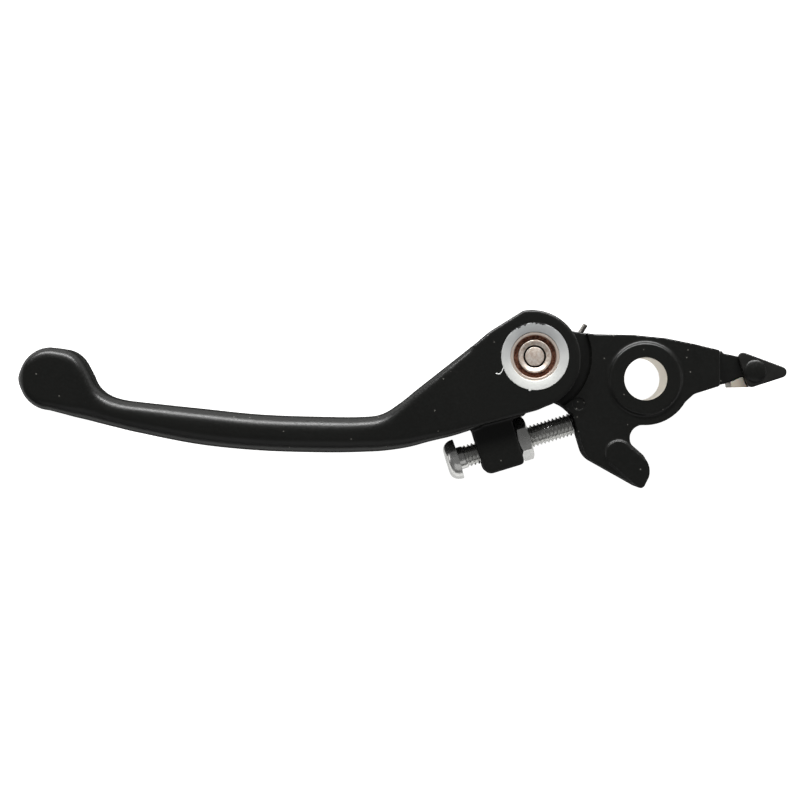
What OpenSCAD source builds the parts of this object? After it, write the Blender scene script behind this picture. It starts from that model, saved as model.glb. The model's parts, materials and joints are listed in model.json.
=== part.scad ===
// Folding motorcycle clutch lever with a reach adjuster, lying as it would be seen from above.
// Origin: centre of the main pivot bore, at mid-thickness. +X runs along the lever towards its
// striker tail, +Y is the front of the motorcycle and +Z is up. All sizes are in millimetres.

/* [Main pivot] */
// Diameter of the bore that takes the perch's pivot bolt
pivot_bore_d = 11; // [9:0.1:12.5]
// Outer diameter of the raised boss round the bore
boss_d = 19.6; // [17:0.2:21]
// Length of the bore, over both boss faces
boss_length = 14.5; // [14:0.1:17]
// Width of the bevel round each boss face
boss_bevel = 0.8; // [0.4:0.1:1.6]

/* [Knuckle] */
// Thickness of the knuckle's body
knuckle_thick = 13; // [12:0.2:13.4]
// Thickness of the tongue that sits in the blade's fork
tongue_thick = 9.2; // [8.6:0.1:9.4]
// Thickness of the hook finger, over the raised pads on its top and underside
finger_thick = 14; // [13.6:0.1:14.4]
// Thickness of the tail arm
arm_thick = 6; // [5:0.2:6]

/* [Fold joint] */
// Fold pivot's distance from the main pivot, towards the grip
fold_back = 28.5; // [28.2:0.1:28.9]
// Fold pivot's distance in front of the main pivot
fold_front = 5.7; // [5.4:0.1:6]
// Radius of the two fork ears
ear_r = 12.6; // [12.2:0.1:12.8]
// Thickness over both fork ears
fork_thick = 19; // [18.6:0.1:20]
// Width of the slot between the ears
fork_slot = 10.4; // [10.2:0.1:10.8]
// Diameter of the bronze sleeve where the tongue turns on it
sleeve_d = 10; // [9:0.1:10.4]
// Diameter of the sleeve's cup in the upper ear
cup_d = 12.5; // [12:0.1:12.8]
// Diameter of the bare washer let into the upper ear
washer_d = 17.4; // [16.8:0.1:18]
// Thread diameter of the fold bolt
fold_bolt_d = 5; // [4:0.5:5]

/* [Blade] */
// Radius of the round end of the grip, seen from above
ball_r = 8.1; // [7.4:0.1:8.4]
// Half thickness of the round end
ball_half_thick = 6.8; // [6:0.1:7.5]
// Radius of the round end's rim, seen from the side
ball_rim_r = 2.7; // [2.4:0.1:5]
// Half thickness of the middle of the grip
grip_half_thick = 6; // [5.4:0.1:6.6]

/* [Reach adjuster] */
// Angle of the adjuster screw from the X axis, in degrees
adjuster_angle = 17; // [16:0.1:18]
// Thread diameter of the adjuster screw
screw_d = 6; // [5:0.5:6]
// Length of the adjuster screw under its head
screw_length = 31; // [30:0.5:34]
// Diameter of the screw's button head
head_d = 10.5; // [9.5:0.1:11]
// Width of the locknut across its flats
locknut_flats = 10; // [9:0.5:10.5]
// Thickness of the locknut
locknut_thick = 3.2; // [2.6:0.1:4]

/* [Return spring] */
// Wire diameter of the torsion spring
wire_d = 1.3; // [1.1:0.1:1.3]
// Radius of the spring's coil, to the middle of its wire
coil_r = 7.15; // [7.1:0.05:7.3]
// Number of turns in the coil
coil_turns = 2; // [1:1:2]

/* [Striker] */
// Thickness of the striker tip
tip_thick = 9; // [7.6:0.2:10]
// Diameter of the rivet heads
rivet_head_d = 5.8; // [4.8:0.1:6]

/* [Hidden] */
$fn = 64;

paint_black = "#1d1e1b";
bare_metal = "#d6d8d4";
bronze = "#6b4a35";
zinc_steel = "#b9b6ae";
spring_steel = "#8c8a84";
nylon_beige = "#d8cdb8";

fold_pivot = [-fold_back, fold_front];
fold_pivot_3d = [fold_pivot.x, fold_pivot.y, 0];
running_gap = 0.05;
past = 1;                      // how far a cutter runs past the face it opens

// Heights through the fold joint, from its top down
ear_top = fork_thick / 2;
ear_inner = fork_slot / 2;
washer_seat = ear_top - 0.5;
washer_top = ear_top + 0.1;
cup_rim = ear_top - 0.2;
cup_floor = ear_top - 1.6;
bolt_head_height = 3.5;
bolt_head_top = ear_top - 0.6;
bolt_seat = bolt_head_top - bolt_head_height;
nut_thick = 2.7;
nut_bottom = -ear_top + 0.2;
nut_seat = nut_bottom + nut_thick;

bolt_head_d = 8.5;
socket_flats = 5;
cup_wall = 0.75;
nut_flats = 8;
thrust_washer_d = 21.6;
thrust_washer_thick = 0.5;
spring_pocket_r = coil_r + wire_d / 2 + 0.4;
spring_pocket_floor = 0.3;
spring_tunnel = wire_d + 0.4;
spring_hook_angle = 200;       // where the spring's upper end enters the upper ear
spring_hook_bend = 4;          // the wire turns upwards over these last degrees
spring_leg_start = -32;        // where the spring's lower leg leaves the coil
spring_leg_length = 14.4;

// The tongue is cut down to its thickness inside this radius from the fold pivot
tongue_step_r = 14.7;
tongue_eye_r = 10.9;
tongue_clearance_r = 12;
ear_centre = fold_pivot + [-0.8, -0.7];
slot_end = 146;                // where the fork's slot stops being open, round at the front

// The adjuster's own frame: the tip of the screw, with distances along and across its axis
screw_tip = [-18.05, -11.6];
tip_gap = 0.15;
lug_right = -15.1;
lug_left = -25.7;
lug_half_thick = 6;
head_height = 3.3;
screw_r = screw_d / 2 - running_gap;
thread_pitch = 1;
thread_depth = 0.55;
locknut_start = lug_right + 0.05;

// Tail arm and striker
body_end = 19.2;
arm_end = 31.5;
rivet_at = [28.6, 2.1];
rivet_shank_r = 1.5;
rivet_head_height = 0.7;
lower_cheek_start = 27;
pad_bottom = -5.5;
pad_top = 2.8;

boss_r = boss_d / 2;
boss_bevel_height = 0.95;

// ---- Geometry helpers -------------------------------------------------------------------

// Points along an arc, from one angle to another
function arc(centre, r, from, to, steps = 8) = [
    for (i = [0:steps])
        let (a = from + (to - from) * i / steps)
        centre + r * [cos(a), sin(a)]
];

// A plan point given by its distance along and across the adjuster's axis, from the screw's tip
function beside_screw(along, across) = screw_tip
    + along * [cos(adjuster_angle), sin(adjuster_angle)]
    + across * [-sin(adjuster_angle), cos(adjuster_angle)];

// Catmull-Rom blend of four rows of numbers, t from 0 to 1 between the middle two
function blend(a, b, c, d, t) = 0.5 * (2 * b + t * (c - a)
    + t * t * (2 * a - 5 * b + 4 * c - d)
    + t * t * t * (3 * b - a - 3 * c + d));

// Every row, with smooth rows added between neighbours
function smoothed(rows, steps) = [
    for (i = [0:len(rows) - 2], k = [0:steps - 1])
        blend(rows[max(i - 1, 0)], rows[i], rows[i + 1], rows[min(i + 2, len(rows) - 1)],
            k / steps),
    rows[len(rows) - 1]
];

// A closed skin through rings that have the same number of points
module skin(rings) {
    n = len(rings[0]);
    last = len(rings) - 1;
    polyhedron(
        points = [for (ring = rings) each ring],
        faces = [
            [for (i = [0:n - 1]) i],
            [for (i = [n - 1:-1:0]) last * n + i],
            for (k = [0:last - 1], i = [0:n - 1])
                each [
                    [k * n + i, (k + 1) * n + i, k * n + (i + 1) % n],
                    [k * n + (i + 1) % n, (k + 1) * n + i, (k + 1) * n + (i + 1) % n]
                ]
        ]
    );
}

module plate(outline, bottom, top) {
    translate([0, 0, bottom])
        linear_extrude(top - bottom)
            polygon(outline);
}

module tube(outer_r, inner_r, bottom, top) {
    translate([0, 0, bottom])
        difference() {
            cylinder(r = outer_r, h = top - bottom);
            translate([0, 0, -past])
                cylinder(r = inner_r, h = top - bottom + 2 * past);
        }
}

module shaft(r, bottom, top) {
    translate([0, 0, bottom])
        cylinder(r = r, h = top - bottom);
}

module hex_prism(flats, bottom, top) {
    translate([0, 0, bottom])
        cylinder(d = flats / cos(30), h = top - bottom, $fn = 6);
}

module at_fold() {
    translate(fold_pivot_3d)
        children();
}

// Children are drawn along +Z, which becomes the adjuster's axis, with z = 0 at the screw's tip
module along_screw() {
    translate([screw_tip.x, screw_tip.y, 0])
        rotate([0, 0, adjuster_angle])
            rotate([0, 90, 0])
                children();
}

// ---- Blade ------------------------------------------------------------------------------

// One cross-section of the grip: front edge x and y, back edge x and y, half thickness and
// the radius of its rounded edges
grip_stations = [
    [-153.2, 8.2, -153.2, -8.1, ball_half_thick, ball_rim_r],
    [-148.5, 7.5, -149.5, -9.1, ball_half_thick, ball_rim_r + 0.3],
    [-145.4, 5.5, -147.0, -9.8, 6.5, ball_rim_r + 0.6],
    [-143.0, 1.6, -145.0, -10.3, 6.2, 3.6],
    [-141.4, -1.6, -143.0, -10.8, 5.9, 3.6],
    [-138.7, -4.0, -140.0, -11.6, 5.7, 3.5],
    [-135.0, -5.3, -136.0, -12.6, 5.6, 3.4],
    [-130.0, -6.0, -130.5, -13.9, 5.7, 3.5],
    [-115.0, -7.6, -115.0, -16.9, grip_half_thick, 3.8],
    [-99.0, -9.2, -99.0, -18.5, grip_half_thick, 3.8],
    [-82.0, -9.8, -82.0, -19.0, grip_half_thick + 0.2, 3.8],
    [-72.3, -9.8, -71.5, -18.8, grip_half_thick + 0.5, 3.6],
    [-67.4, -9.0, -66.0, -18.4, 6.9, 3.3],
    [-62.9, -6.2, -60.5, -17.5, 7.5, 2.8],
    [-57.9, -2.2, -55.4, -16.1, 8.4, 2.4],
    [-50.0, 4.0, -49.0, -14.5, 9.2, 2],
    [-42.4, 10.0, -42.4, -12.3, ear_top - 0.1, 1.6]
];

// Ring of points round a cross-section that stands upright between its front and back edges
function section_ring(front, back, half_thick, edge_r) =
    let (
        middle = (front + back) / 2,
        half_width = norm(front - back) / 2,
        out = (front - back) / (2 * half_width),
        r = min(edge_r, half_width * 0.98, half_thick * 0.98)
    )
    [
        for (corner = [0:3], k = [0:3])
            let (
                a = corner * 90 + k * 30,
                side = (corner == 0 || corner == 3) ? 1 : -1,
                up = corner < 2 ? 1 : -1,
                across = side * (half_width - r) + r * cos(a),
                height = up * (half_thick - r) + r * sin(a)
            )
            [middle.x + out.x * across, middle.y + out.y * across, height]
    ];

function station_ring(s) = section_ring([s[0], s[1]], [s[2], s[3]], s[4], s[5]);

// The round end: rings that shrink towards its tip along a slightly pointed quarter circle, and
// lose thickness only over its rounded rim
ball_centre = [-153.2, 0.05];
ball_rings = [
    for (a = [8:11:74])
        let (
            x = ball_centre.x - ball_r * cos(a),
            half = ball_r * pow(sin(a), 1.15),
            short_of_rim = max(0, ball_rim_r - ball_r * (1 - cos(a))),
            drop = ball_rim_r - sqrt(ball_rim_r * ball_rim_r - short_of_rim * short_of_rim)
        )
        section_ring([x, ball_centre.y + half], [x, ball_centre.y - half],
            ball_half_thick - drop, ball_rim_r)
];

module grip() {
    skin(concat(ball_rings, [for (s = smoothed(grip_stations, 2)) station_ring(s)]));
}

fork_outline = concat(
    [[-45, -12.6], [-28, -8.1]],
    arc(ear_centre, ear_r, -72, 100, 32),
    [[-40, 12.1], [-42.4, 10], [-45, 7.9]]
);

lug_outline = concat(
    [beside_screw(lug_left, 8.5)],
    arc(beside_screw(lug_left + 2, -4), 2, 180 + adjuster_angle, 270 + adjuster_angle),
    arc(beside_screw(lug_right - 1, -5), 1, 270 + adjuster_angle, 360 + adjuster_angle),
    // Web that carries the lug's front on past the locknut
    [beside_screw(lug_right, 6), beside_screw(lug_right + 3.3, 6),
        beside_screw(lug_right + 4.6, 8)]
);

// Slot for the tongue, seen from the fold pivot: open to the right and round to the front, and
// round behind the pivot so that the tongue can swing in it
slot_outline = concat(
    [[0, -2 * ear_r], [2 * ear_r, -2 * ear_r], [2 * ear_r, 2 * ear_r]],
    [2 * ear_r * [cos(slot_end), sin(slot_end)]],
    arc([0, 0], tongue_clearance_r, slot_end, 270, 24)
);

module lever_blade() {
    color(paint_black)
        difference() {
            union() {
                grip();
                plate(fork_outline, -ear_top, ear_top);
                plate(lug_outline, -lug_half_thick, lug_half_thick);
            }
            at_fold() {
                plate(slot_outline, -ear_inner, ear_inner);
                // Seats for the washer, the sleeve's cup, the bolt and the nut
                shaft(washer_d / 2, washer_seat, ear_top + past);
                shaft(cup_d / 2, 0, ear_top + past);
                shaft(fold_bolt_d / 2 + running_gap, -ear_top - past, 0);
                hex_prism(nut_flats + 0.2, -ear_top - past, nut_seat);
                // Hole for the spring's upper end
                rotate([0, 0, spring_hook_angle])
                    translate([coil_r, 0, 0])
                        shaft(wire_d / 2 + 0.15, 0, ear_inner + 2.4);
            }
            along_screw()
                shaft(screw_d / 2, lug_left - past, lug_right + past);
        }
}

// ---- Knuckle ----------------------------------------------------------------------------

hook_corner = [-10.8, -16.75];
hook_corner_r = 5.3;
hook_slope = 239.5;            // outward direction of the finger's straight lower edge
finger_end = [-1.2, -26.9];
finger_end_r = 1.15;
finger_face = [-4, -23.7];
finger_face_r = 5.15;
finger_pad_centre = [-6.9, -19.2];
finger_pad_r = 3.35;
notch_centre = [-0.6, -15.2];
notch_r = 3.35;
belly_r = 11.9;

knuckle_outline = concat(
    arc(fold_pivot, tongue_eye_r, 40, 292, 40),
    [[-23.2, -6], [-20.5, -7.3]],
    [beside_screw(tip_gap, 2.8), beside_screw(tip_gap, -2.9)],
    arc(hook_corner, hook_corner_r, 180 + adjuster_angle, hook_slope),
    arc(finger_end, finger_end_r, hook_slope, 330),
    arc(finger_face, finger_face_r, -19, 30),
    [[-0.4, -19.6]],
    arc(notch_centre, notch_r, 210, 95, 12),
    arc([0, 0], belly_r, -92, -30, 14),
    [[12.6, -3.9], [body_end, -1.85], [body_end, 7.4], [12.6, 9], [5.5, 10.45], [-3, 11.3],
        [-13.2, 11.5], [-18.9, 12.4]]
);

arm_outline = [
    [body_end - 4, 6], [body_end + 0.3, 6.6], [20.2, 7.5], [20.5, 6.7], [24.7, 5.8],
    [arm_end, 3.3],
    [arm_end, 1.2], [25.4, 0.7], [20.9, -1.3], [body_end - 4, -2.4]
];

// Raised pad on the hook finger: round towards the boss, and as wide as the finger beyond it
finger_pad_outline = concat(
    arc(finger_pad_centre, finger_pad_r, 60, 240, 16),
    arc(finger_end, finger_end_r, hook_slope, 330),
    arc(finger_face, finger_face_r, -19, 30)
);

module boss() {
    half = boss_length / 2;
    rotate_extrude()
        polygon([
            [0, -half], [boss_r - boss_bevel, -half], [boss_r, -half + boss_bevel_height],
            [boss_r, half - boss_bevel_height], [boss_r - boss_bevel, half], [0, half]
        ]);
}

module knuckle() {
    half = knuckle_thick / 2;
    tongue = tongue_thick / 2;
    color(paint_black)
        difference() {
            union() {
                plate(knuckle_outline, -half, half);
                plate(arm_outline, -arm_thick / 2, arm_thick / 2);
                plate(finger_pad_outline, -finger_thick / 2, finger_thick / 2);
                boss();
            }
            shaft(pivot_bore_d / 2, -boss_length, boss_length);
            at_fold() {
                shaft(tongue_step_r, tongue, half + past);
                shaft(tongue_step_r, -half - past, -tongue);
                shaft(sleeve_d / 2 + running_gap, -half, half);
                shaft(spring_pocket_r, spring_pocket_floor, half);
                // Tunnel that lets the spring's lower leg out through the front edge
                rotate([0, 0, spring_leg_start])
                    translate([coil_r - spring_tunnel / 2, 0, spring_pocket_floor])
                        cube([spring_tunnel, spring_leg_length + 2, spring_tunnel]);
            }
            translate([rivet_at.x, rivet_at.y, 0])
                shaft(rivet_shank_r, -half, half);
        }
}

// ---- Fold joint -------------------------------------------------------------------------

module pivot_sleeve() {
    outer = cup_d / 2 - 0.02;
    rim = outer - cup_wall;
    head = bolt_head_d / 2 + 0.05;
    hole = fold_bolt_d / 2 + running_gap;
    color(bronze)
        at_fold()
            rotate_extrude()
                polygon([
                    [hole, -ear_inner], [sleeve_d / 2, -ear_inner], [sleeve_d / 2, ear_inner],
                    [outer, ear_inner], [outer, cup_rim - 0.3], [outer - 0.3, cup_rim],
                    [rim, cup_rim], [rim, cup_floor], [head, cup_floor], [head, bolt_seat],
                    [hole, bolt_seat]
                ]);
}

module pivot_washer() {
    color(bare_metal)
        at_fold()
            tube(washer_d / 2 - 0.02, cup_d / 2, washer_seat, washer_top);
}

module pivot_bolt() {
    head = bolt_head_d / 2;
    color(zinc_steel)
        at_fold()
            difference() {
                rotate_extrude()
                    polygon([
                        [0, nut_bottom], [fold_bolt_d / 2, nut_bottom],
                        [fold_bolt_d / 2, bolt_seat], [head, bolt_seat],
                        [head, bolt_head_top - 0.3], [head - 0.3, bolt_head_top],
                        [0, bolt_head_top]
                    ]);
                hex_prism(socket_flats, bolt_head_top - 2, bolt_head_top + past);
                // Countersink at the mouth of the hexagon socket
                translate([0, 0, bolt_head_top - 0.5])
                    cylinder(r1 = socket_flats / 2, r2 = socket_flats / 2 + 2.2, h = 1);
            }
}

module pivot_nut() {
    color(zinc_steel)
        at_fold()
            difference() {
                hex_prism(nut_flats, nut_bottom, nut_seat);
                shaft(fold_bolt_d / 2 + 0.02, nut_bottom - past, nut_seat + past);
            }
}

module thrust_washer(inner_r, bottom) {
    color(bare_metal)
        at_fold()
            tube(thrust_washer_d / 2, inner_r, bottom, bottom + thrust_washer_thick);
}

module thrust_washer_upper() {
    thrust_washer(spring_pocket_r, ear_inner - running_gap - thrust_washer_thick);
}

module thrust_washer_lower() {
    thrust_washer(sleeve_d / 2 + running_gap, running_gap - ear_inner);
}

// Middle line of the spring: from the end of its lower leg, up the coil, to its hooked end
coil_bottom = spring_pocket_floor + wire_d / 2 + 0.15;
coil_rise = 1.06 * wire_d;     // from one turn to the next
hook_sweep = 360 * (coil_turns + 1) + spring_leg_start - spring_hook_angle;
coil_sweep = hook_sweep - spring_hook_bend;
coil_steps = ceil(coil_sweep / 20);
leg_end = coil_r * [cos(spring_leg_start), sin(spring_leg_start)]
    + spring_leg_length * [-sin(spring_leg_start), cos(spring_leg_start)];

function coil_point(swept, lift = 0) = [
    coil_r * cos(spring_leg_start - swept),
    coil_r * sin(spring_leg_start - swept),
    coil_bottom + coil_rise * swept / 360 + lift
];

spring_path = concat(
    [[leg_end.x, leg_end.y, coil_bottom]],
    [for (i = [0:coil_steps]) coil_point(coil_sweep * i / coil_steps)],
    [coil_point(hook_sweep, 0.6), coil_point(hook_sweep, 2.7)]
);

// Rings of wire round each point of a path, square to the way the path runs there
function wire_rings(path, sides = 8) = [
    for (i = [0:len(path) - 1])
        let (
            way = path[min(i + 1, len(path) - 1)] - path[max(i - 1, 0)],
            side = cross(way, [path[i].x, path[i].y, 0]),
            up = cross(side, way)
        )
        [
            for (k = [0:sides - 1])
                path[i] + wire_d / 2 * (cos(k * 360 / sides) * side / norm(side)
                    + sin(k * 360 / sides) * up / norm(up))
        ]
];

module torsion_spring() {
    color(spring_steel)
        at_fold()
            skin(wire_rings(spring_path));
}

// ---- Reach adjuster ---------------------------------------------------------------------

// Profile of one turn of thread, drawn as a plain ring groove from one crest to the next
function thread_ridge(z) = [
    [screw_r, z], [screw_r - thread_depth, z + 0.4],
    [screw_r - thread_depth, z + 0.5], [screw_r, z + 0.9]
];

module adjuster_screw() {
    top = -screw_length;
    color(zinc_steel)
        along_screw()
            difference() {
                union() {
                    rotate_extrude()
                        polygon(concat(
                            [[0, top], [screw_r, top]],
                            [for (z = [top + 1.5:thread_pitch:-1.5]) each thread_ridge(z)],
                            [[screw_r, -0.5], [screw_r - 0.5, 0], [0, 0]]
                        ));
                    button_head(top);
                }
                hex_prism(4, top - head_height - past, top - head_height + 2.2);
            }
}

// Domed head whose flat bearing face is at the given height, with its crown below that
module button_head(bearing) {
    crown_r = 2.9;
    rise = head_height - 0.4;
    translate([0, 0, bearing])
        rotate_extrude()
            polygon(concat(
                [[0, 0], [head_d / 2, 0]],
                [
                    for (a = [0:10:90])
                        [crown_r + (head_d / 2 - crown_r) * cos(a), -0.4 - rise * sin(a)]
                ],
                [[0, -head_height]]
            ));
}

module adjuster_locknut() {
    color(zinc_steel)
        along_screw()
            difference() {
                intersection() {
                    // Two of its corners lie level with the screw's axis
                    rotate(30)
                        hex_prism(locknut_flats, locknut_start, locknut_start + locknut_thick);
                    // Chamfered corners on both faces
                    rotate_extrude()
                        polygon([
                            [0, locknut_start], [locknut_flats / 2 - 0.1, locknut_start],
                            [locknut_flats / 2 + 1, locknut_start + 0.6],
                            [locknut_flats / 2 + 1, locknut_start + locknut_thick - 0.6],
                            [locknut_flats / 2 - 0.1, locknut_start + locknut_thick],
                            [0, locknut_start + locknut_thick]
                        ]);
                }
                shaft(screw_d / 2, locknut_start - past, locknut_start + locknut_thick + past);
            }
}

// ---- Striker ----------------------------------------------------------------------------

tip_outline = concat(
    arc([27.7, -1], 1.15, 200, 285, 6),
    arc([35.3, 1.75], 1.45, 285, 430, 10),
    arc([25.5, 5.6], 1.25, 70, 200, 8)
);

module striker_tip() {
    color(paint_black)
        difference() {
            plate(tip_outline, -tip_thick / 2, tip_thick / 2);
            // Slot for the arm
            translate([body_end, -10, -arm_thick / 2])
                cube([arm_end + 0.1 - body_end, 20, arm_thick]);
            // The lower cheek stops short, behind the switch pad
            translate([body_end, -10, -tip_thick])
                cube([lower_cheek_start - body_end, 20, tip_thick]);
            translate([rivet_at.x, rivet_at.y, 0])
                shaft(rivet_shank_r, -tip_thick, tip_thick);
        }
}

module striker_rivet() {
    cheek = tip_thick / 2;
    head_r = rivet_head_d / 2;
    color(paint_black)
        translate([rivet_at.x, rivet_at.y, 0])
            rotate_extrude()
                polygon([
                    [0, -cheek - rivet_head_height],
                    [head_r - 0.4, -cheek - rivet_head_height], [head_r, -cheek],
                    [rivet_shank_r, -cheek], [rivet_shank_r, cheek], [head_r, cheek],
                    [head_r - 0.4, cheek + rivet_head_height], [0, cheek + rivet_head_height]
                ]);
}

// The pad lies under the arm and stands up behind its back edge
module switch_pad() {
    color(nylon_beige) {
        plate([[22.1, 2.5], [22.6, -2.2], [26.8, -2.1], [26.3, -1.2], [25.1, 2.5]],
            pad_bottom, -arm_thick / 2);
        plate([[22.4, -0.8], [22.6, -2.2], [26.8, -2.1], [26.3, -1.2], [25.7, 0.55],
            [25.4, 0.6]], pad_bottom, pad_top);
    }
}

lever_blade();
knuckle();
pivot_sleeve();
pivot_washer();
pivot_bolt();
pivot_nut();
thrust_washer_upper();
thrust_washer_lower();
torsion_spring();
adjuster_screw();
adjuster_locknut();
striker_tip();
striker_rivet();
switch_pad();
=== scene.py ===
"""Looks of a folding motorcycle clutch lever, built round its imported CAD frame.

Shapes are drawn in millimetres along the frame's own axes and become metres when they turn into
pieces. Seen from above, +X runs from the grip to the striker tail and +Y is the lever's front.
"""

import json
import math

import bmesh
import bpy
from mathutils import Matrix, Vector, noise


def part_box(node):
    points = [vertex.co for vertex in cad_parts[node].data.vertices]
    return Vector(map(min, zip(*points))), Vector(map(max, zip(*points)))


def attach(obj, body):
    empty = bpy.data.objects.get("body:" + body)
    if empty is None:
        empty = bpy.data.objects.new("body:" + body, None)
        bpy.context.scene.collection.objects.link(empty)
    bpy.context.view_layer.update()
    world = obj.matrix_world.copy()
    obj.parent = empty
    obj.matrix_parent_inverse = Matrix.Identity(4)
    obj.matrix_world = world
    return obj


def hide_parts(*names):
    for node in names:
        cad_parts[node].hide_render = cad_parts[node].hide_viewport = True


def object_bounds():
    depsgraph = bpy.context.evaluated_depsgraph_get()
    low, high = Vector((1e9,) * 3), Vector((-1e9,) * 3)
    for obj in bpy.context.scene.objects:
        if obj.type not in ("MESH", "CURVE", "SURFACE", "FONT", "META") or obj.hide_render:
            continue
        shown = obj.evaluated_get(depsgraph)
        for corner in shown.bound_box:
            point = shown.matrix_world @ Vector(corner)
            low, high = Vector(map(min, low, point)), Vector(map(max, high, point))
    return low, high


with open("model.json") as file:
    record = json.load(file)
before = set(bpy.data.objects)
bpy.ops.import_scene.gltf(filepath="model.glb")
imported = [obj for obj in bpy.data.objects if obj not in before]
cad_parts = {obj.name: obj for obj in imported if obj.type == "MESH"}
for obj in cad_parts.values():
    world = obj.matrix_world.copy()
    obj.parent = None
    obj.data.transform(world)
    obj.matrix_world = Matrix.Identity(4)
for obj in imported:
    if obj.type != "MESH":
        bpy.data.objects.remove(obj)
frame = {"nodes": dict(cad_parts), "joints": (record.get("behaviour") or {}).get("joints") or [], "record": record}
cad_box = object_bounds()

MM = 0.001

record = frame["record"]
joints = {joint["name"]: joint for joint in frame["joints"]}
mounts = {mount["name"]: mount for mount in record["mounts"]}
body_of = {node: body for body, nodes in record["behaviour"]["bodies"].items() for node in nodes}
slot_of = {part["node"]: part["material_slot"] for part in record["subparts"]}


def cad_corners(node):
    """Lowest and highest corner of a CAD node, in millimetres."""
    low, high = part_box(node)
    return low / MM, high / MM


# ---- Places and sizes shared with the CAD, in millimetres ----------------------------------

SCREW_TIP = Vector((-18.05, -11.6, 0))
CUP_R = 6.25
SLEEVE_R = 5.0
SLEEVE_BORE_R = 2.55
BOLT_R = 2.5
BOLT_HEAD_R = 4.2
BOLT_HEAD_HEIGHT = 3.5
SOCKET_R = 2.87
SOCKET_FLOOR_R = 2.44
NUT_BORE_R = 2.52

fold_pivot = Vector(joints["fold"]["pos_m"]) / MM
screw_axis = Vector(joints["adjust"]["axis"])
screw_angle = math.degrees(math.atan2(screw_axis.y, screw_axis.x))
pivot_bore_r = mounts["pivot_bore"]["dims"]["r_mm"]
boss_half = mounts["pivot_bore"]["dims"]["length_mm"] / 2
ear_top = cad_corners("lever_blade")[1].z
ear_inner = -cad_corners("pivot_sleeve")[0].z
washer_low, washer_high = cad_corners("pivot_washer")
washer_r = (washer_high.x - washer_low.x) / 2
bolt_head_top = cad_corners("pivot_bolt")[1].z
bolt_seat = bolt_head_top - BOLT_HEAD_HEIGHT
nut_bottom = cad_corners("pivot_nut")[0].z
nut_seat = cad_corners("pivot_nut")[1].z
at_fold = Matrix.Translation(fold_pivot)
along_screw = (
    Matrix.Translation(SCREW_TIP)
    @ Matrix.Rotation(math.radians(screw_angle), 4, "Z")
    @ Matrix.Rotation(math.radians(90), 4, "Y")
)


# ---- Outlines and closed shapes -------------------------------------------------------------

def arc(centre, radius, start, end, steps=12):
    """Plan points along an arc, from one angle in degrees to another."""
    angles = [math.radians(start + (end - start) * i / steps) for i in range(steps + 1)]
    return [(centre[0] + radius * math.cos(a), centre[1] + radius * math.sin(a)) for a in angles]


def eased(points, radius, steps=4, closed=True):
    """The same outline with each corner turned into a short curve of about that radius."""
    corners = [Vector(point) for point in points]
    result = []
    for i, corner in enumerate(corners):
        if not closed and i in (0, len(corners) - 1):
            result.append(tuple(corner))
            continue
        before = corners[i - 1] - corner
        after = corners[(i + 1) % len(corners)] - corner
        start = corner + before * min(radius / before.length, 0.45)
        end = corner + after * min(radius / after.length, 0.45)
        for k in range(steps + 1):
            t = k / steps
            result.append(tuple(start * (1 - t) ** 2 + corner * 2 * t * (1 - t) + end * t * t))
    return result


def joined_rings(rings, closed=False, capped=True):
    """A skin through rings of points that all have the same number of points."""
    mesh = bmesh.new()
    loops = [[mesh.verts.new(point) for point in ring] for ring in rings]
    following = loops[1:] + loops[:1] if closed else loops[1:]
    for near, far in zip(loops, following):
        for i in range(len(near)):
            j = (i + 1) % len(near)
            mesh.faces.new((near[i], near[j], far[j], far[i]))
    if capped and not closed:
        mesh.faces.new(loops[0])
        mesh.faces.new(loops[-1])
    bmesh.ops.remove_doubles(mesh, verts=mesh.verts, dist=1e-5)
    bmesh.ops.recalc_face_normals(mesh, faces=mesh.faces)
    return mesh


def turned(profile, closed=False, sides=96):
    """A turned shape about Z from (radius, height) points. A closed profile makes a ring."""
    turns = [2 * math.pi * i / sides for i in range(sides)]
    rings = [[(r * math.cos(a), r * math.sin(a), z) for a in turns] for r, z in profile]
    return joined_rings(rings, closed, capped=False)


def rod(bottom, top, radius):
    """A plain round bar about Z."""
    return turned([(0, bottom), (radius, bottom), (radius, top), (0, top)])


def plate(outline, bottom, top):
    """A flat shape of a plan outline, from one height to another."""
    return joined_rings([[(x, y, z) for x, y in outline] for z in (bottom, top)])


def hexagon(flats, corner_r=0.0):
    """Six-sided outline, with its corners eased if a radius is given."""
    r = flats / 2 / math.cos(math.radians(30))
    points = [(r * math.cos(a), r * math.sin(a)) for a in [math.radians(60 * i) for i in range(6)]]
    return eased(points, corner_r, steps=2) if corner_r else points


def swept(path, radius, sides=16):
    """A round wire along a path, square to it everywhere."""
    path = [Vector(point) for point in path]
    rings = []
    side = None
    for i, point in enumerate(path):
        way = (path[min(i + 1, len(path) - 1)] - path[max(i - 1, 0)]).normalized()
        side = way.orthogonal() if side is None else side - way * side.dot(way)
        side.normalize()
        up = way.cross(side)
        r = radius(i / (len(path) - 1)) if callable(radius) else radius
        turns = [2 * math.pi * k / sides for k in range(sides)]
        rings.append([point + r * (math.cos(a) * side + math.sin(a) * up) for a in turns])
    return joined_rings(rings)


# ---- From shapes to pieces ------------------------------------------------------------------

def add_object(name, mesh, place=None):
    """A new object from a bmesh drawn in millimetres."""
    mesh.transform(Matrix.Scale(MM, 4) @ (place or Matrix.Identity(4)))
    data = bpy.data.meshes.new(name)
    mesh.to_mesh(data)
    mesh.free()
    thing = bpy.data.objects.new(name, data)
    bpy.context.scene.collection.objects.link(thing)
    return thing


def apply_modifiers(thing):
    graph = bpy.context.evaluated_depsgraph_get()
    rough = thing.data
    thing.data = bpy.data.meshes.new_from_object(thing.evaluated_get(graph))
    thing.modifiers.clear()
    bpy.data.meshes.remove(rough)


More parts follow.
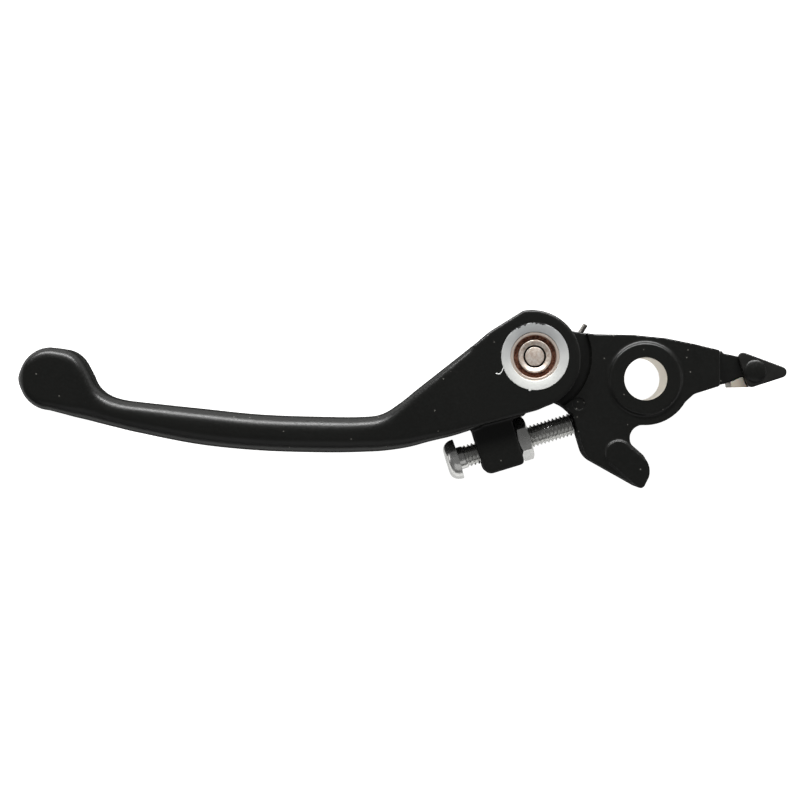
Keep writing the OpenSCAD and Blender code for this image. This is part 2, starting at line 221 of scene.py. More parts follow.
def combine(thing, other, operation, lining=None):
    """Cuts another object out of this one, or keeps what both share. The other one is used up."""
    if lining:
        other.data.materials.append(lining)
    modifier = thing.modifiers.new(operation, "BOOLEAN")
    modifier.operation = operation
    modifier.solver = "EXACT"
    modifier.material_mode = "TRANSFER"
    modifier.object = other
    apply_modifiers(thing)
    bpy.data.objects.remove(other)


def cut(thing, mesh, place=None, lining=None):
    combine(thing, add_object("cutter", mesh, place), "DIFFERENCE", lining)


def cad_shape(node):
    """A bmesh copy of a CAD node, in millimetres."""
    mesh = bmesh.new()
    mesh.from_mesh(frame["nodes"][node].data)
    mesh.transform(Matrix.Scale(1 / MM, 4))
    bmesh.ops.remove_doubles(mesh, verts=mesh.verts, dist=1e-4)
    return mesh


def join(things):
    """Makes one object of several, under the first one's name."""
    with bpy.context.temp_override(active_object=things[0], selected_editable_objects=things):
        bpy.ops.object.join()


def cast(name, shapes, grain, passes):
    """One skin round overlapping closed shapes, with the soft edges of a cast or moulded part.
    The grain is the size of the skin's faces, and more smoothing passes make rounder edges."""
    parts = [add_object(name, shape) for shape in shapes]
    if len(parts) > 1:
        join(parts)
    thing = parts[0]
    remesh = thing.modifiers.new("skin", "REMESH")
    remesh.mode = "VOXEL"
    remesh.voxel_size = grain * MM
    smooth = thing.modifiers.new("soften", "SMOOTH")
    smooth.factor = 0.5
    smooth.iterations = passes
    apply_modifiers(thing)
    return thing


def finished(thing, node, sharp_angle=40):
    """Hands a piece its shading, its finish and its body, and hides the CAD node that it stands for."""
    slot = slot_of[node]
    if thing.data.materials:
        thing.data.materials[0] = materials[slot]
    else:
        thing.data.materials.append(materials[slot])
    thing.data.shade_smooth()
    thing.data.set_sharp_from_angle(angle=math.radians(sharp_angle))
    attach(thing, body_of[node])
    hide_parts(node)
    return thing


# ---- Materials ------------------------------------------------------------------------------

class Recipe:
    """A material being mixed. Each call adds one node and gives back the socket it makes."""

    def __init__(self, name, colour, roughness, metallic=0.0):
        self.material = bpy.data.materials.new(name)
        self.material.use_nodes = True
        self.tree = self.material.node_tree
        self.shader = self.tree.nodes["Principled BSDF"]
        self.place = self.tree.nodes.new("ShaderNodeTexCoord").outputs["Object"]
        self.set("Base Color", (*colour, 1))
        self.set("Roughness", roughness)
        self.set("Metallic", metallic)

    def put(self, socket, value):
        if isinstance(value, bpy.types.NodeSocket):
            self.tree.links.new(value, socket)
        else:
            socket.default_value = value

    def set(self, name, value):
        self.put(self.shader.inputs[name], value)

    def node(self, kind, inputs, **settings):
        made = self.tree.nodes.new(kind)
        for name, value in settings.items():
            setattr(made, name, value)
        for name, value in inputs.items():
            self.put(made.inputs[name], value)
        return made

    def noise(self, size, detail=2.0, distortion=0.0, place=None):
        """Soft random value whose lumps are about that many millimetres across."""
        inputs = {
            "Vector": place or self.place,
            "Scale": 1 / (size * MM),
            "Detail": detail,
            "Distortion": distortion,
        }
        return self.node("ShaderNodeTexNoise", inputs).outputs["Fac"]

    def span(self, value, low, high, new_low=0.0, new_high=1.0):
        """A value carried from one span to another, and held at its ends."""
        inputs = {
            "Value": value,
            "From Min": low,
            "From Max": high,
            "To Min": new_low,
            "To Max": new_high,
        }
        return self.node("ShaderNodeMapRange", inputs).outputs["Result"]

    def math(self, operation, a, b=0.0):
        return self.node("ShaderNodeMath", {0: a, 1: b}, operation=operation).outputs[0]

    def mix(self, share, a, b):
        """Colour a where share is 0 and colour b where it is 1."""
        made = self.node("ShaderNodeMix", {}, data_type="RGBA")
        self.put(made.inputs["Factor"], share)
        for socket, value in zip(made.inputs[6:8], (a, b)):
            self.put(socket, (*value, 1) if isinstance(value, tuple) else value)
        return made.outputs[2]

    def from_axis(self, centre):
        """Distance in millimetres from an upright axis, and the angle round it from -1 to 1."""
        inputs = {0: self.place, 1: centre * MM}
        offset = self.node("ShaderNodeVectorMath", inputs, operation="SUBTRACT").outputs[0]
        part = self.node("ShaderNodeSeparateXYZ", {0: offset})
        x, y = part.outputs["X"], part.outputs["Y"]
        squares = self.math("ADD", self.math("MULTIPLY", x, x), self.math("MULTIPLY", y, y))
        distance = self.math("DIVIDE", self.math("SQRT", squares), MM)
        angle = self.math("DIVIDE", self.math("ARCTAN2", y, x), math.pi)
        return distance, angle

    def bump(self, height, depth, under=None):
        """Relief that many millimetres deep, over any relief under it."""
        inputs = {"Height": height, "Distance": depth * MM}
        made = self.node("ShaderNodeBump", inputs)
        if under:
            self.put(made.inputs["Normal"], under)
        return made.outputs["Normal"]


def black_paint():
    """Satin black paint over a cast surface, with a few specks of pale dust. It is satin where it
    faces up or down, and nearly matt on the sides."""
    paint = Recipe("black_paint", (0.009, 0.0094, 0.0085), 0.45)
    patches = paint.noise(9, detail=3)
    grain = paint.noise(0.45, detail=3)
    dust_spacing = 1.9
    cells = {"Vector": paint.place, "Scale": 1 / (dust_spacing * MM)}
    dots = paint.node("ShaderNodeTexVoronoi", cells)
    near = paint.span(dots.outputs["Distance"], 0.07, 0.11, 1, 0)
    chosen = paint.math("GREATER_THAN", dots.outputs["Color"], 0.68)
    dust = paint.math("MULTIPLY", near, chosen)
    tone = paint.mix(patches, (0.0046, 0.0048, 0.0042), (0.0068, 0.007, 0.0062))
    paint.set("Base Color", paint.mix(dust, tone, (0.16, 0.155, 0.14)))
    normal = paint.node("ShaderNodeNewGeometry", {}).outputs["True Normal"]
    height = paint.node("ShaderNodeSeparateXYZ", {0: normal}).outputs["Z"]
    level = paint.math("ABSOLUTE", height)
    satin = paint.span(grain, 0.3, 0.7, 0.28, 0.4)
    matt_sides = paint.span(level, 0.2, 0.65, 0.95, 0.25)
    paint.set("Roughness", paint.math("MAXIMUM", satin, matt_sides))
    paint.set("Specular IOR Level", paint.span(level, 0.2, 0.7, 0.05, 0.45))
    cast_skin = paint.bump(paint.noise(2.4, detail=2), 0.03)
    paint.set("Normal", paint.bump(grain, 0.006, cast_skin))
    return paint.material


def bare_aluminium():
    """Punched bare washer: fine radial scuffs, flakes of black paint along its front edge, and a painted sheen
    that makes it lighter towards the back.
    """
    metal = Recipe("bare_aluminium", (0.7, 0.71, 0.69), 0.5, 0.5)
    distance, angle = metal.from_axis(fold_pivot)
    scuffs = metal.noise(0.5, detail=4, distortion=0.4)
    cloud = metal.noise(3.5, detail=2)

    flaked_from = 8.33
    flaked_half_turns = 0.567
    flaked_falloff = 5.5
    ragged = metal.span(metal.noise(0.7, detail=4), 0.3, 0.7, -0.35, 0.35)
    edge = metal.math("ADD", distance, ragged)
    away = metal.math("MULTIPLY", metal.math("SUBTRACT", angle, flaked_half_turns), flaked_falloff)
    front = metal.math("SUBTRACT", 1, metal.math("ABSOLUTE", away))
    along_edge = metal.span(edge, flaked_from, flaked_from + 0.07)
    flakes = metal.math("MULTIPLY", along_edge, metal.span(front, 0, 0.15))

    # Painted sheen: the colour is lighter towards the back (-Y) and darker towards the front, standing in for how
    # the light falls on the washer.
    across = metal.math("SINE", metal.math("MULTIPLY", angle, math.pi))
    painted_sheen_behind = metal.span(across, -1, 1, 1.1, -0.1)
    light = metal.math("ADD", painted_sheen_behind, metal.span(cloud, 0, 1, -0.25, 0.25))
    tone = metal.mix(light, (0.5, 0.51, 0.51), (0.92, 0.93, 0.9))
    metal.set("Base Color", metal.mix(flakes, tone, (0.01, 0.01, 0.01)))
    metal.set("Metallic", metal.span(flakes, 0, 1, 0.5, 0))
    metal.set("Roughness", metal.span(scuffs, 0.3, 0.7, 0.45, 0.62))
    metal.set("Normal", metal.bump(scuffs, 0.02))
    return metal.material


def bronze():
    """Brown bronze, mottled, darkened as painted shade for the cup, and pale on its rim: machined bronze with a
    painted highlight.
    """
    metal = Recipe("bronze", (0.3, 0.15, 0.09), 0.35, 0.7)
    distance, _ = metal.from_axis(fold_pivot)
    mottle = metal.noise(0.55, detail=4, distortion=0.6)
    stain = metal.span(mottle, 0.38, 0.62)
    # Painted shade: the brown is made dark to stand for the shade in the cup.
    shaded_brown = metal.mix(stain, (0.13, 0.05, 0.032), (0.36, 0.17, 0.11))
    # Painted highlight: the rim is made pale, for the light that its edges catch.
    rim = metal.span(distance, CUP_R - 0.9, CUP_R - 0.65)
    metal.set("Base Color", metal.mix(rim, shaded_brown, (0.86, 0.74, 0.65)))
    metal.set("Roughness", metal.span(mottle, 0.3, 0.7, 0.3, 0.5))
    metal.set("Normal", metal.bump(mottle, 0.02))
    return metal.material


def bolt_steel():
    """Warm zinc plating with turning rings, a little staining, and painted shade in a dark ring round the socket's
    floor.
    """
    metal = Recipe("bolt_steel", (0.8, 0.7, 0.62), 0.3, 0.55)
    distance, _ = metal.from_axis(fold_pivot)
    wander = metal.span(metal.noise(1.2, detail=3), 0, 1, -0.12, 0.12)
    radians_per_mm = 26
    around = metal.math("MULTIPLY", metal.math("ADD", distance, wander), radians_per_mm)
    rings = metal.math("SINE", around)
    stain = metal.noise(0.9, detail=4, distortion=0.5)
    face = metal.mix(metal.span(stain, 0.35, 0.7), (0.92, 0.84, 0.76), (0.6, 0.47, 0.38))
    # Painted shade: a dark ring between the socket's floor and its face, where the socket's walls are in shade.
    outside_floor = metal.span(distance, SOCKET_FLOOR_R - 0.04, SOCKET_FLOOR_R + 0.06)
    inside_face = metal.span(distance, SOCKET_R - 0.02, SOCKET_R + 0.1, 1, 0)
    socket_shade = metal.math("MULTIPLY", outside_floor, inside_face)
    metal.set("Base Color", metal.mix(socket_shade, face, (0.03, 0.02, 0.016)))
    metal.set("Roughness", metal.span(stain, 0.3, 0.7, 0.3, 0.45))
    metal.set("Normal", metal.bump(rings, 0.008))
    return metal.material


def bright_zinc():
    """Bright zinc plating, slightly cloudy."""
    metal = Recipe("bright_zinc", (0.8, 0.8, 0.78), 0.2, 0.85)
    cloud = metal.noise(1.1, detail=4)
    metal.set("Base Color", metal.mix(cloud, (0.72, 0.72, 0.7), (0.86, 0.86, 0.84)))
    metal.set("Roughness", metal.span(cloud, 0.3, 0.7, 0.14, 0.3))
    metal.set("Normal", metal.bump(metal.noise(0.4, detail=3), 0.006))
    return metal.material


def drawn_steel(name, colour, roughness):
    """Plain steel with fine drawn scratches."""
    metal = Recipe(name, colour, roughness, 1.0)
    scratches = metal.noise(0.3, detail=4, distortion=1.2)
    dull = tuple(0.7 * part for part in colour)
    metal.set("Base Color", metal.mix(scratches, dull, colour))
    metal.set("Roughness", metal.span(scratches, 0.3, 0.7, roughness - 0.08, roughness + 0.1))
    metal.set("Normal", metal.bump(scratches, 0.01))
    return metal.material


def moulded_plastic(name, colour, roughness, subsurface=0.0):
    """Moulded plastic with a fine spark-eroded texture and slight clouding."""
    plastic = Recipe(name, colour, roughness)
    cloud = plastic.noise(2.5, detail=3)
    deep = tuple(0.82 * part for part in colour)
    plastic.set("Base Color", plastic.mix(cloud, deep, colour))
    plastic.set("Roughness", plastic.span(cloud, 0.3, 0.7, roughness - 0.06, roughness + 0.06))
    plastic.set("Subsurface Weight", subsurface)
    plastic.set("Subsurface Scale", 0.5 * MM)
    plastic.set("Normal", plastic.bump(plastic.noise(0.25, detail=3), 0.008))
    return plastic.material


materials = {
    "black_paint": black_paint(),
    "bare_aluminium": bare_aluminium(),
    "bronze": bronze(),
    "bolt_steel": bolt_steel(),
    "bright_zinc": bright_zinc(),
    "spring_steel": drawn_steel("spring_steel", (0.42, 0.4, 0.37), 0.35),
    "washer_steel": drawn_steel("washer_steel", (0.55, 0.55, 0.53), 0.35),
    "black_plastic": moulded_plastic("black_plastic", (0.012, 0.012, 0.011), 0.38),
    "beige_plastic": moulded_plastic("beige_plastic", (0.52, 0.47, 0.39), 0.5, 0.2),
}
bore_metal = drawn_steel("bore_metal", (0.96, 0.9, 0.79), 0.4)


# ---- Blade ----------------------------------------------------------------------------------

# The grip's cross-sections: front edge x and y, back edge x and y, half thickness, edge radius
GRIP_SECTIONS = [
    (-153.2, 8.2, -153.2, -8.1, 6.8, 2.7),
    (-148.5, 7.5, -149.5, -9.1, 6.8, 3),
    (-145.4, 5.5, -147.0, -9.8, 6.5, 3.3),
    (-143.0, 1.6, -145.0, -10.3, 6.2, 3.6),
    (-141.4, -1.6, -143.0, -10.8, 5.9, 3.6),
    (-138.7, -4.0, -140.0, -11.6, 5.7, 3.5),
    (-135.0, -5.3, -136.0, -12.6, 5.6, 3.4),
    (-130.0, -6.0, -130.5, -13.9, 5.7, 3.5),
    (-115.0, -7.6, -115.0, -16.9, 6, 3.8),
    (-99.0, -9.2, -99.0, -18.5, 6, 3.8),
    (-82.0, -9.8, -82.0, -19.0, 6.2, 3.8),
    (-72.3, -9.8, -71.5, -18.8, 6.5, 3.6),
    (-67.4, -9.0, -66.0, -18.4, 6.9, 3.3),
    (-62.9, -6.2, -60.5, -17.5, 7.5, 2.8),
    (-57.9, -2.2, -55.4, -16.1, 8.4, 2.4),
    (-50.0, 4.0, -49.0, -14.5, 9.2, 2),
    (-42.4, 10.0, -42.4, -12.3, 9.4, 1.6),
]
BALL_CENTRE = (-153.2, 0.05)
BALL_R = 8.1
BALL_HALF_THICK = 6.8
BALL_RIM_R = 2.7


def smooth_rows(rows, steps):
    """Rows of numbers with Catmull-Rom rows added between neighbours."""
    rows = [Vector(row) for row in rows]
    result = []
    for i in range(len(rows) - 1):
        a, b, c = rows[max(i - 1, 0)], rows[i], rows[i + 1]
        d = rows[min(i + 2, len(rows) - 1)]
        for k in range(steps):
            t = k / steps
            result.append(0.5 * (
                2 * b + t * (c - a) + t ** 2 * (2 * a - 5 * b + 4 * c - d)
                + t ** 3 * (3 * b - a - 3 * c + d)
            ))
    return result + [rows[-1]]


def upright_section(front, back, half_thick, edge_r, corner_steps=8):
    """A ring of points round a cross-section that stands between its front and back edges."""
    front, back = Vector(front), Vector(back)
    middle = (front + back) / 2
    half_width = (front - back).length / 2
    out = (front - back).normalized()
    r = min(edge_r, half_width * 0.98, half_thick * 0.98)
    ring = []
    for corner, (side, up) in enumerate([(1, 1), (-1, 1), (-1, -1), (1, -1)]):
        for k in range(corner_steps + 1):
            a = math.radians(90 * corner + 90 * k / corner_steps)
            across = side * (half_width - r) + r * math.cos(a)
            height = up * (half_thick - r) + r * math.sin(a)
            ring.append((middle.x + out.x * across, middle.y + out.y * across, height))
    return ring


def grip():
    """The ball at the lever's end, then the grip's sections as far as the fork."""
    ball_taper = 1.15
    rings = []
    for degrees in range(4, 88, 4):
        a = math.radians(degrees)
        x = BALL_CENTRE[0] - BALL_R * math.cos(a)
        half = BALL_R * math.sin(a) ** ball_taper
        short_of_rim = max(0, BALL_RIM_R - BALL_R * (1 - math.cos(a)))
        drop = BALL_RIM_R - math.sqrt(BALL_RIM_R ** 2 - short_of_rim ** 2)
        front, back = (x, BALL_CENTRE[1] + half), (x, BALL_CENTRE[1] - half)
        rings.append(upright_section(front, back, BALL_HALF_THICK - drop, BALL_RIM_R))
    for row in smooth_rows(GRIP_SECTIONS, 8):
        rings.append(upright_section(row[0:2], row[2:4], row[4], row[5]))
    return joined_rings(rings)


def beside_screw(along, across):
    """A plan point given by its distance along and across the adjuster's axis, from the tip."""
    point = SCREW_TIP + along * screw_axis + across * Vector((-screw_axis.y, screw_axis.x, 0))
    return point.x, point.y


def lug_outline():
    """The lug that holds the adjuster, and the web that joins it to the fork."""
    outer_corner = beside_screw(-23.7, -4)
    inner_corner = beside_screw(-16.1, -5)
    return (
        [beside_screw(-25.7, 8.5)]
        + arc(outer_corner, 2, 180 + screw_angle, 270 + screw_angle)
        + arc(inner_corner, 1, 270 + screw_angle, 360 + screw_angle)
        + [beside_screw(-15.1, 5.8), beside_screw(-11.7, 5.8), beside_screw(-10.5, 8)]
    )


def fork():
    """Two ears round the fold pivot, in millimetres, with the slot for the knuckle's tongue."""
    ear_centre = (fold_pivot.x - 0.8, fold_pivot.y - 0.7)
    ear_r = 12.6
    slot_r = 12
    outline = (
        [(-44.4, -12.4), (-28, -8.1)]
        + arc(ear_centre, ear_r, -72, 100, 48)
        + [(-40, 12.1), (-42.4, 10), (-44.4, 8.4)]
    )
    slot = [(0, -30), (30, -30), (30, 30), (-24.9, 16.8)] + arc((0, 0), slot_r, 146, 270, 32)
    thing = add_object("fork", plate(outline, -ear_top, ear_top))
    cut(thing, plate(slot, -ear_inner, ear_inner), at_fold)
    shape = bmesh.new()
    shape.from_mesh(thing.data)
    shape.transform(Matrix.Scale(1 / MM, 4))
    bpy.data.objects.remove(thing)
    return shape


def blade():
    """Grip, fork and lug in one casting, with the seats and holes of the fold joint and the screw."""
    lug_half_thick = 6
    screw_hole_r = 3
    nut_pocket_flats = 8.2
    past = 1
    lug = plate(lug_outline(), -lug_half_thick, lug_half_thick)
    thing = cast("blade", [grip(), fork(), lug], grain=0.34, passes=8)
    washer_seat = [
        (0, washer_low.z),
        (washer_r, washer_low.z),
        (washer_r + 0.02, ear_top + past),
        (0, ear_top + past),
    ]
    cut(thing, turned(washer_seat), at_fold)
    cut(thing, rod(0, ear_top + past, CUP_R), at_fold)
    cut(thing, rod(-ear_top - past, 0, SLEEVE_BORE_R), at_fold)
    cut(thing, plate(hexagon(nut_pocket_flats, 0.3), -ear_top - past, nut_seat), at_fold)
    cut(thing, rod(-28, -14, screw_hole_r), along_screw)
    return finished(thing, "lever_blade")


# ---- Knuckle and its striker ------------------------------------------------------------------

def knuckle():
    """The CAD casting with softened edges. Its bore is filled for that, then cut again and lined."""
    plug_r = pivot_bore_r + 1
    past = 0.5
    bore_plug = rod(-boss_half, boss_half, plug_r)
    thing = cast("knuckle_casting", [cad_shape("knuckle"), bore_plug], grain=0.25, passes=7)
    bore = rod(-boss_half - past, boss_half + past, pivot_bore_r)
    cut(thing, bore, lining=bore_metal)
    ejector_mark = turned([(0, 6.3), (1.5, 6.3), (2.1, 6.9), (0, 6.9)])
    cut(thing, ejector_mark, Matrix.Translation((-17.1, -6.4, 0)))
    return finished(thing, "knuckle")


def striker_tip():
    thing = cast("striker", [cad_shape("striker_tip")], grain=0.16, passes=12)
    return finished(thing, "striker_tip")


def switch_pad():
    thing = cast("pad", [cad_shape("switch_pad")], grain=0.12, passes=5)
    return finished(thing, "switch_pad")


def striker_rivet():
    """A rivet with a low dome at each end."""
    low, high = cad_corners("striker_rivet")
    centre = (low + high) / 2
    head_r = (high.x - low.x) / 2
    shank_r = 1.5
    dome_height = 0.7
    under_head = high.z - dome_height
    angles = [math.radians(9 * i) for i in range(11)]
    dome = [(head_r * math.cos(a), under_head + dome_height * math.sin(a)) for a in angles]
    upper = [(shank_r, under_head)] + dome
    lower = [(r, -z) for r, z in reversed(upper)]
    place = Matrix.Translation((centre.x, centre.y, 0))
    thing = add_object("rivet", turned(lower + upper, sides=48), place)
    return finished(thing, "striker_rivet")


# ---- Fold joint -------------------------------------------------------------------------------

def sleeve():
    """Bronze sleeve through the knuckle's tongue, with a cup on top for the bolt's head."""
    cup_outer = CUP_R - 0.02
    cup_inner = CUP_R - 0.77
    rim_top = ear_top - 0.2
    cup_floor = ear_top - 1.6
    head_hole_r = BOLT_HEAD_R + 0.1
    profile = eased([
        (SLEEVE_BORE_R, -ear_inner),
        (SLEEVE_R, -ear_inner),
        (SLEEVE_R, ear_inner),
        (cup_outer, ear_inner),
        (cup_outer, rim_top),
        (cup_inner, rim_top),
        (cup_inner, cup_floor),
        (head_hole_r, cup_floor),
        (head_hole_r, bolt_seat),
        (SLEEVE_BORE_R, bolt_seat),
    ], 0.18)
    return finished(add_object("sleeve", turned(profile, closed=True), at_fold), "pivot_sleeve")


def ragged_edge(degrees):
    """How far the washer's edge stands out at an angle: slight waves, and one point at the back."""
    a = math.radians(degrees)
    waves = 9
    wave = 0.05 * noise.noise(Vector((math.cos(a) * waves, math.sin(a) * waves, 0)))
    point = 0.6 * max(0, 1 - abs(degrees - 261) / 2.5)
    return wave + point


def burr(height):
    """A curl of metal left by the punch: (radius, angle) stations along it, growing thinner."""
    stations = [
        (8.5, 199.5),
        (8.9, 202),
        (9.3, 204.5),
        (9.75, 206),
        (10.2, 206),
        (10.6, 205.3),
        (10.9, 203.2),
    ]
    turns = [(r, math.radians(angle)) for r, angle in stations]
    path = [(r * math.cos(a), r * math.sin(a), height) for r, a in turns]
    return swept(path, lambda along: 0.17 - 0.05 * along, sides=8)


def washer():
    """Bare punched washer, dished a little towards the sleeve."""
    bottom, top = washer_low.z, washer_high.z
    outer = washer_r - 0.06
    dish = 0.16
    profile = eased([(CUP_R, bottom), (outer, bottom), (outer, top), (CUP_R, top - dish)], 0.12)
    ring = turned(profile, closed=True, sides=180)
    for vert in ring.verts:
        on_edge = vert.co.xy.length > washer_r - 0.3
        above_ear = vert.co.z > ear_top + 0.02
        if on_edge and above_ear:
            degrees = math.degrees(math.atan2(vert.co.y, vert.co.x)) % 360
            vert.co.xy *= 1 + ragged_edge(degrees) / washer_r
    thing = add_object("bare_washer", ring, at_fold)
    join([thing, add_object("burr", burr(top - 0.13), at_fold)])
    return finished(thing, "pivot_washer")


def bolt():
    """Low-head bolt: a dished face round the socket, whose worn floor shows as a disc."""
    top = bolt_head_top
    socket_bottom = top - 1.6
    profile = [(0, nut_bottom)] + eased([
        (BOLT_R - 0.3, nut_bottom),
        (BOLT_R, nut_bottom + 0.4),
        (BOLT_R, bolt_seat),
        (BOLT_HEAD_R, bolt_seat),
        (BOLT_HEAD_R, top),
        (BOLT_HEAD_R - 0.4, top),
        (SOCKET_R, top - 0.5),
        (SOCKET_R - 0.07, socket_bottom),
        (SOCKET_FLOOR_R + 0.06, socket_bottom),
        (SOCKET_FLOOR_R, top - 0.75),
        (SOCKET_FLOOR_R - 0.3, top - 0.7),
    ], 0.14, closed=False) + [(0, top - 0.62)]
    mesh = turned(profile)
    for vert in mesh.verts:
        in_socket = SOCKET_FLOOR_R + 0.02 < vert.co.xy.length < SOCKET_R + 0.05
        if in_socket and vert.co.z > socket_bottom - 0.1:
            turn = math.atan2(vert.co.y, vert.co.x)
            vert.co.xy *= 1 + 0.018 * math.cos(6 * turn)
    return finished(add_object("bolt", mesh, at_fold), "pivot_bolt", sharp_angle=30)


def nut():
    """Nut in its pocket under the fork, with its corners and its bore's edge chamfered."""
    corner_r = 4.8
    thing = add_object("nut", plate(hexagon(8), nut_bottom, nut_seat), at_fold)
    envelope = turned([
        (0, nut_bottom),
        (3.9, nut_bottom),
        (corner_r, nut_bottom + 0.5),
        (corner_r, nut_seat),
        (0, nut_seat),
    ])
    combine(thing, add_object("envelope", envelope, at_fold), "INTERSECT")
    bore = turned([
        (0, nut_bottom - 1),
        (2.9, nut_bottom - 0.5),
        (NUT_BORE_R, nut_bottom + 0.2),
        (NUT_BORE_R, nut_seat + 1),
        (0, nut_seat + 1),
    ])
    cut(thing, bore, at_fold)
    return finished(thing, "pivot_nut", sharp_angle=30)


def thrust_washer(name, node, inner):
    """A plain ring that fills its CAD node's height and width."""
    low, high = cad_corners(node)
    outer = (high.x - low.x) / 2
    profile = eased([(inner, low.z), (outer, low.z), (outer, high.z), (inner, high.z)], 0.1, 2)
    return finished(add_object(name, turned(profile, closed=True), at_fold), node)


def spring():
    """Torsion spring: a straight leg, a little over two turns, and an upright end."""
    low, high = cad_corners("torsion_spring")
    wire_r = 0.65
    coil_r = 7.15
    leg_angle = -32
    leg_length = 14.4
    hook_angle = 200
    bend = 4
    bend_lift = 0.6
    rise_per_turn = 1.38
    steps = 220
    sweep = 360 * 3 + leg_angle - hook_angle - bend
    bottom = low.z + wire_r

    def on_coil(swept_angle, lift=0.0):
        a = math.radians(leg_angle - swept_angle)
        height = bottom + rise_per_turn * swept_angle / 360
        return coil_r * math.cos(a), coil_r * math.sin(a), height + lift

    a = math.radians(leg_angle)
    along_leg = Vector((-math.sin(a), math.cos(a), 0))
    hook_rise = high.z - on_coil(sweep + bend)[2]
    path = [Vector(on_coil(0)) + leg_length * along_leg]
    path += [on_coil(sweep * i / steps) for i in range(steps + 1)]
    path += [on_coil(sweep + bend, bend_lift), on_coil(sweep + bend, hook_rise)]
    return finished(add_object("spring", swept(path, wire_r), at_fold), "torsion_spring")


# ---- Reach adjuster -----------------------------------------------------------------------------

SCREW_LENGTH = 31.0
SCREW_CREST_R = 2.95


def screw_thread():
    """The screw's shank with a real helical thread, drawn along Z with its tip at the origin."""
    depth = 0.55
    pitch = 1.0
    plain_length = 1.3
    chamfer = 0.5
    around = 48
    steps_per_pitch = 12
    rings = []
    for i in range(int(SCREW_LENGTH / pitch * steps_per_pitch) + 1):
        z = -SCREW_LENGTH + i * pitch / steps_per_pitch
        cut_in = min(1, max(0, (z + SCREW_LENGTH - plain_length) / pitch))
        ring = []
        for k in range(around):
            a = 2 * math.pi * k / around
            phase = (z / pitch - k / around) % 1
            groove = min(1, max(0, 1.25 * (1 - abs(2 * phase - 1)) - 0.12))
            tip_r = SCREW_CREST_R - chamfer - z * 1.2
            r = min(SCREW_CREST_R - depth * groove * cut_in, tip_r)
            ring.append((r * math.cos(a), r * math.sin(a), z))
        rings.append(ring)
    return joined_rings(rings)


def button_head():
    """The screw's domed head, behind its shank."""
    head_r = 5.25
    crown_r = 2.9
    height = 3.3
    rim = 0.4
    crown = -SCREW_LENGTH - height
    angles = [math.radians(7.5 * i) for i in range(13)]
    dome = [
        (crown_r + (head_r - crown_r) * math.cos(a),
         -SCREW_LENGTH - rim - (height - rim) * math.sin(a))
        for a in angles
    ]
    seat = [(0, -SCREW_LENGTH + 0.2), (head_r - 0.2, -SCREW_LENGTH), (head_r, -SCREW_LENGTH - 0.1)]
    socket_edge = [(2.35, crown), (2.1, crown + 0.25), (2.1, crown + 0.3), (0, crown + 0.3)]
    head = add_object("head", turned(seat + dome + socket_edge), along_screw)
    socket_flats = 4
    socket_depth = 2.2
    cut(head, plate(hexagon(socket_flats), crown - 1, crown + socket_depth), along_screw)
    return head


def adjuster_screw():
    thing = add_object("screw", screw_thread(), along_screw)
    join([thing, button_head()])
    return finished(thing, "adjuster_screw", sharp_angle=50)


def locknut():
    """Thin hexagon nut, with its corners and both ends of its bore chamfered."""
    start = -15.05
    end = start + 3.2
    face_r = 4.85
    corner_r = 6
    corner_drop = 0.62
    bore_r = 3
    bore_mouth_r = 3.5
    flats_up = along_screw @ Matrix.Rotation(math.radians(30), 4, "Z")
    thing = add_object("locknut_hex", plate(hexagon(10, 0.15), start, end), flats_up)
    envelope = eased([
        (0, start),
        (face_r, start),
        (corner_r, start + corner_drop),
        (corner_r, end - corner_drop),
        (face_r, end),
        (0, end),
    ], 0.1, closed=False)
    combine(thing, add_object("envelope", turned(envelope), along_screw), "INTERSECT")
    bore = turned([
        (0, start - 1),
        (bore_mouth_r, start - 0.1),
        (bore_r, start + 0.4),
        (bore_r, end - 0.4),
        (bore_mouth_r, end + 0.1),
        (0, end + 1),
    ])
    cut(thing, bore, along_screw)
    return finished(thing, "adjuster_locknut", sharp_angle=30)


blade()
knuckle()
striker_tip()
switch_pad()
striker_rivet()
sleeve()
washer()
bolt()
nut()
thrust_washer("upper_thrust_washer", "thrust_washer_upper", 8.2)
thrust_washer("lower_thrust_washer", "thrust_washer_lower", 5.05)
spring()
adjuster_screw()
locknut()


# ---- Floor, light and camera ------------------------------------------------------------------

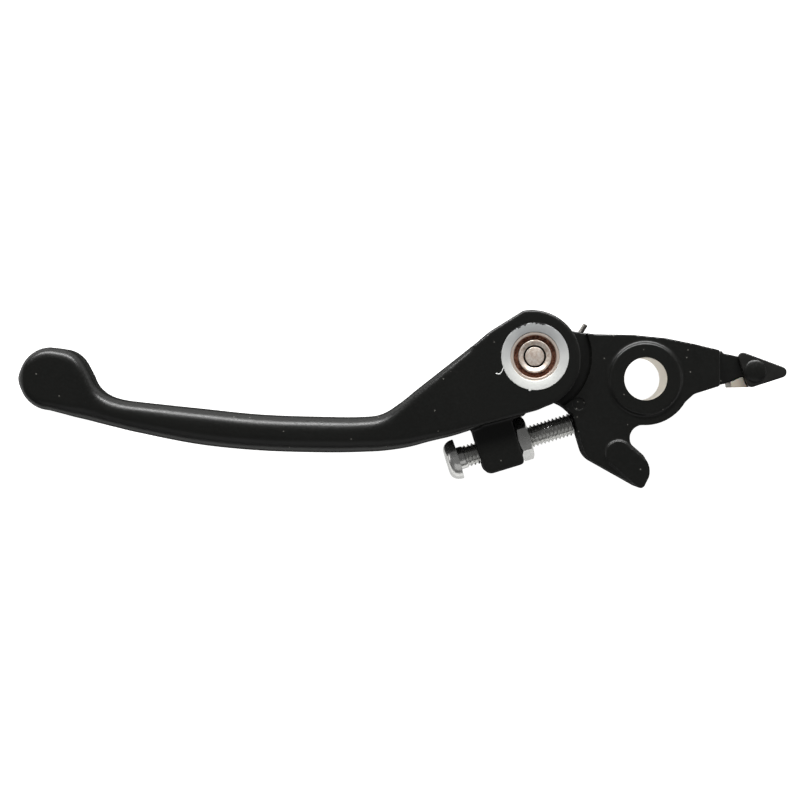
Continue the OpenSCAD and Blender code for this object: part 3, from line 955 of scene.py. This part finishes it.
def floor():
    """A pale card just under the lever. It glows, and more towards the camera than on the lever,
    so it shows no shadow."""
    half_size = 3000
    gap = 0.05
    z = cad_box[0].z / MM - gap
    quarters = [(-1, -1), (1, -1), (1, 1), (-1, 1)]
    sheet = bmesh.new()
    sheet.faces.new([sheet.verts.new((x * half_size, y * half_size, z)) for x, y in quarters])
    thing = add_object("floor", sheet)
    card = Recipe("floor_card", (0.5, 0.5, 0.5), 0.9)
    fibre = card.noise(6, detail=3)
    card.set("Base Color", card.mix(fibre, (0.48, 0.48, 0.475), (0.52, 0.52, 0.515)))
    card.set("Emission Color", (1, 1, 0.995, 1))
    seen = card.node("ShaderNodeLightPath", {}).outputs["Is Camera Ray"]
    glow_on_lever = 0.6
    glow_seen = 1
    card.set("Emission Strength", card.span(seen, 0, 1, glow_on_lever, glow_seen))
    thing.data.materials.append(card.material)


def softbox(name, direction, distance, width, height, power):
    """A rectangular lamp that many metres away in a direction, turned towards the lever."""
    aim = Vector((-0.06, 0, 0))
    lamp = bpy.data.lights.new(name, "AREA")
    lamp.shape = "RECTANGLE"
    lamp.size = width
    lamp.size_y = height
    lamp.energy = power
    thing = bpy.data.objects.new(name, lamp)
    thing.location = aim + Vector(direction).normalized() * distance
    thing.rotation_euler = (aim - thing.location).to_track_quat("-Z", "Y").to_euler()
    bpy.context.scene.collection.objects.link(thing)


def studio():
    """Soft light: a long strip in front for the edges, a fill behind, and one at each end."""
    world = bpy.data.worlds.new("studio")
    world.use_nodes = True
    background = world.node_tree.nodes["Background"]
    background.inputs["Color"].default_value = (1, 1, 1, 1)
    background.inputs["Strength"].default_value = 0.1
    bpy.context.scene.world = world
    softbox("key", (0, 1, 0.53), distance=1.2, width=1.6, height=0.3, power=32)
    softbox("fill", (0, -1, 0.9), distance=1.2, width=1.2, height=0.8, power=1.2)
    for name, side in (("left", -1), ("right", 1)):
        softbox(name, (side, 0, 0.3), distance=1.4, width=0.6, height=0.4, power=0.8)


def camera():
    """Straight above the middle of the lever, looking down."""
    sight = bpy.data.cameras.new("camera")
    sight.sensor_width = 36
    sight.lens = 83.08
    thing = bpy.data.objects.new("camera", sight)
    thing.location = Vector((-62.93, -5.42, 480)) * MM
    bpy.context.scene.collection.objects.link(thing)
    bpy.context.scene.camera = thing


floor()
studio()
camera()
bpy.context.scene.view_settings.view_transform = "Standard"
